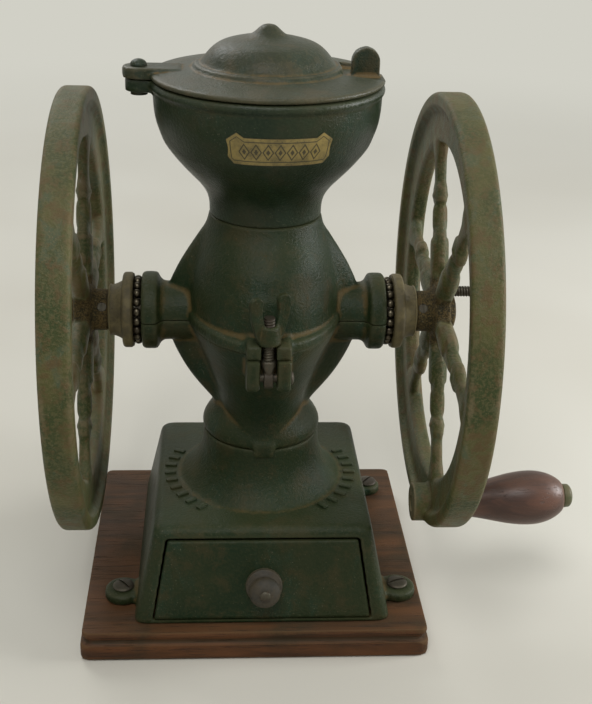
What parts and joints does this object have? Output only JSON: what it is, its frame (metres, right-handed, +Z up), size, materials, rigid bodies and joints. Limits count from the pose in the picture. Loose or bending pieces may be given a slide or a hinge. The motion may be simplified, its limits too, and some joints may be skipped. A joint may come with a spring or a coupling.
{
  "type": "coffee grinder mill",
  "caption": "Tabletop cast-iron coffee mill with two flywheels, swing-lid hopper, ball thrust bearings, turned handle and a drawer in its base, on a wooden board.",
  "frame": {"origin": "on the table plane under the board, where the vertical centre line of the mill meets it", "axes": "+X along the wheel shaft towards the handle, -Y towards the drawer knob, +Z up"},
  "size_m": [0.2643, 0.222, 0.3037],
  "materials": {
    "board_wood": "oiled, worn through at the edges",
    "painted_iron": "old dark green paint with brown patina",
    "hopper_iron": "old blue-green paint with rust showing",
    "lid_iron": "thin grey-green paint, worn",
    "wheel_iron": "olive grey paint with brown patina",
    "rusty_iron": "bare iron with dry rust",
    "worn_iron": "paint worn off to warm metal",
    "button_iron": "green paint, rubbed",
    "burr_iron": "bare, dull",
    "bright_steel": "turned, slightly tarnished",
    "ball_steel": "polished, slightly tarnished",
    "screw_steel": "dark, aged",
    "drawer_tin": "dull tinplate",
    "grip_wood": "red-brown varnish, rubbed"
  },
  "bodies": {
    "mill_frame": {"wood_board": "board_wood", "base_casting": "painted_iron", "base_screw_front_left": "screw_steel", "base_screw_front_right": "screw_steel", "base_screw_rear_right": "screw_steel", "lower_housing": "painted_iron", "upper_housing": "painted_iron", "fixed_burr": "burr_iron", "hopper": "hopper_iron", "lid_rivet": "lid_iron", "clamp_pin": "screw_steel", "hinge_pin": "bright_steel"},
    "rotor": {"shaft": "bright_steel", "turning_burr": "burr_iron", "burr_pin": "bright_steel", "thrust_flange_left": "rusty_iron", "thrust_flange_right": "rusty_iron", "wheel_left": "wheel_iron", "wheel_right": "wheel_iron", "set_screw_left": "screw_steel", "set_screw_right": "screw_steel", "adjusting_stud": "screw_steel", "handle_stud": "button_iron"},
    "grip": {"handle_grip": "grip_wood"},
    "left_balls": {"ball_ring_left": "ball_steel"},
    "right_balls": {"ball_ring_right": "ball_steel"},
    "hopper_lid": {"lid": "lid_iron"},
    "drawer": {"drawer_box": "drawer_tin", "drawer_front": "painted_iron", "drawer_knob": "worn_iron", "drawer_knob_screw": "screw_steel"},
    "swing_bolt": {"clamp_bolt": "screw_steel"},
    "wing_nut": {"clamp_wing_nut": "painted_iron"}
  },
  "joints": [
    {"name": "wheels_turn", "type": "hinge", "parent": "mill_frame", "child": "rotor", "pos_m": [0, 0, 0.16], "axis": [1, 0, 0], "continuous": true},
    {"name": "grip_spin", "type": "hinge", "parent": "rotor", "child": "grip", "pos_m": [0.0995, -0.03121, 0.06394], "axis": [0.9986, 0, 0.0523], "continuous": true},
    {"name": "left_balls_roll", "type": "hinge", "parent": "mill_frame", "child": "left_balls", "pos_m": [-0.06355, 0, 0.16], "axis": [1, 0, 0], "continuous": true},
    {"name": "right_balls_roll", "type": "hinge", "parent": "mill_frame", "child": "right_balls", "pos_m": [0.06355, 0, 0.16], "axis": [1, 0, 0], "continuous": true},
    {"name": "lid_swing", "type": "hinge", "parent": "mill_frame", "child": "hopper_lid", "pos_m": [-0.0605, 0, 0.2783], "axis": [0, 0, 1], "range_deg": [-110, 110]},
    {"name": "drawer_slide", "type": "slide", "parent": "mill_frame", "child": "drawer", "axis": [0, -1, 0], "range_m": [0, 0.09]},
    {"name": "clamp_swing", "type": "hinge", "parent": "mill_frame", "child": "swing_bolt", "pos_m": [0.0005, -0.0585, 0.15], "axis": [1, 0, 0], "range_deg": [0, 80]},
    {"name": "nut_lift", "type": "slide", "parent": "swing_bolt", "child": "wing_nut", "axis": [0, 0, 1], "range_m": [0, 0.0075]}
  ],
  "couplings": [
    {"joint": "left_balls_roll", "follows": "wheels_turn", "ratio": 0.5},
    {"joint": "right_balls_roll", "follows": "wheels_turn", "ratio": 0.5},
    {"joint": "nut_lift", "follows": "clamp_swing", "m_per_rad": 0.005}
  ]
}
